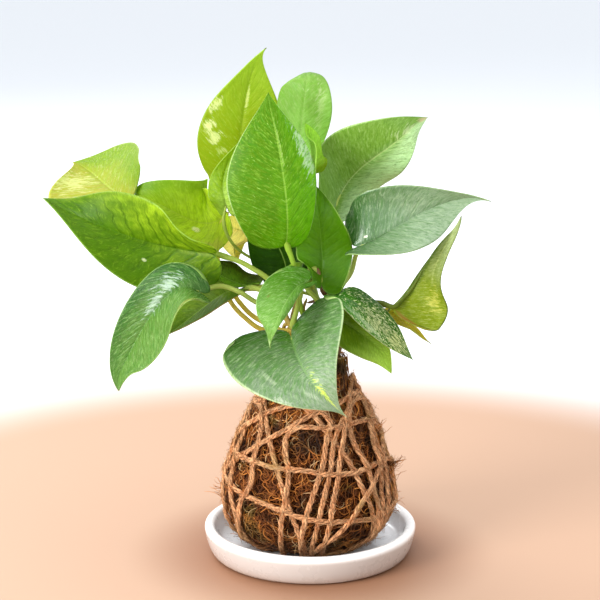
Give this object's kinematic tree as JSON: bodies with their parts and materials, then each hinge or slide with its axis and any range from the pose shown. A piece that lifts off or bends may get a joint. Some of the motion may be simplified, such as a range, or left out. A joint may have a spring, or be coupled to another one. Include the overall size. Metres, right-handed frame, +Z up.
{
  "type": "kokedama moss ball plant",
  "caption": "Pothos plant with heart-shaped leaves growing from a coir-wrapped soil ball bound with jute twine, resting on a round glazed saucer.",
  "frame": {"origin": "middle of the saucer base, on the plane it stands on", "axes": "+Z up through the ball and the plant, +X to the right of a viewer at the front, -Y towards that viewer"},
  "size_m": [0.2551, 0.1334, 0.2937],
  "materials": {
    "saucer": "glossy off-white glaze",
    "coir_wrap": "rough brown coconut fibre",
    "jute_twine": "rough tan twisted twine",
    "root_ball": "rough dark potting soil and roots",
    "stem_main": "satin brown stem",
    "stem_left": "satin yellow-brown stem",
    "stem_back": "satin green stem",
    "leaf_tall_back": "waxy leaf",
    "leaf_top_back": "waxy leaf",
    "leaf_rolled_young": "waxy leaf",
    "leaf_centre_front": "waxy leaf",
    "leaf_right_upper": "waxy leaf",
    "leaf_right_broad": "waxy leaf",
    "leaf_right_folded": "waxy leaf",
    "leaf_small_under": "waxy leaf",
    "leaf_speckled": "waxy leaf",
    "leaf_lime_under": "waxy leaf",
    "leaf_drooping_front": "waxy leaf",
    "leaf_small_front": "waxy leaf",
    "leaf_young_lobe": "waxy leaf",
    "leaf_centre_right": "waxy leaf",
    "leaf_left_drooping": "waxy leaf",
    "leaf_left_long": "waxy leaf",
    "leaf_left_far": "waxy leaf",
    "leaf_left_middle": "waxy leaf",
    "leaf_behind_left": "waxy leaf",
    "leaf_olive_under": "waxy leaf",
    "leaf_dark_middle": "waxy leaf",
    "leaf_dark_left": "waxy leaf",
    "leaf_yellow_back": "waxy leaf"
  },
  "bodies": {
    "root": {"saucer": "saucer", "coir_wrap": "coir_wrap", "jute_twine": "jute_twine", "root_ball": "root_ball", "stem_main": "stem_main", "stem_left": "stem_left", "stem_back": "stem_back", "leaf_tall_back": "leaf_tall_back", "leaf_top_back": "leaf_top_back", "leaf_rolled_young": "leaf_rolled_young", "leaf_centre_front": "leaf_centre_front", "leaf_right_upper": "leaf_right_upper", "leaf_right_broad": "leaf_right_broad", "leaf_right_folded": "leaf_right_folded", "leaf_small_under": "leaf_small_under", "leaf_speckled": "leaf_speckled", "leaf_lime_under": "leaf_lime_under", "leaf_drooping_front": "leaf_drooping_front", "leaf_small_front": "leaf_small_front", "leaf_young_lobe": "leaf_young_lobe", "leaf_centre_right": "leaf_centre_right", "leaf_left_drooping": "leaf_left_drooping", "leaf_left_long": "leaf_left_long", "leaf_left_far": "leaf_left_far", "leaf_left_middle": "leaf_left_middle", "leaf_behind_left": "leaf_behind_left", "leaf_olive_under": "leaf_olive_under", "leaf_dark_middle": "leaf_dark_middle", "leaf_dark_left": "leaf_dark_left", "leaf_yellow_back": "leaf_yellow_back"}
  },
  "joints": []
}
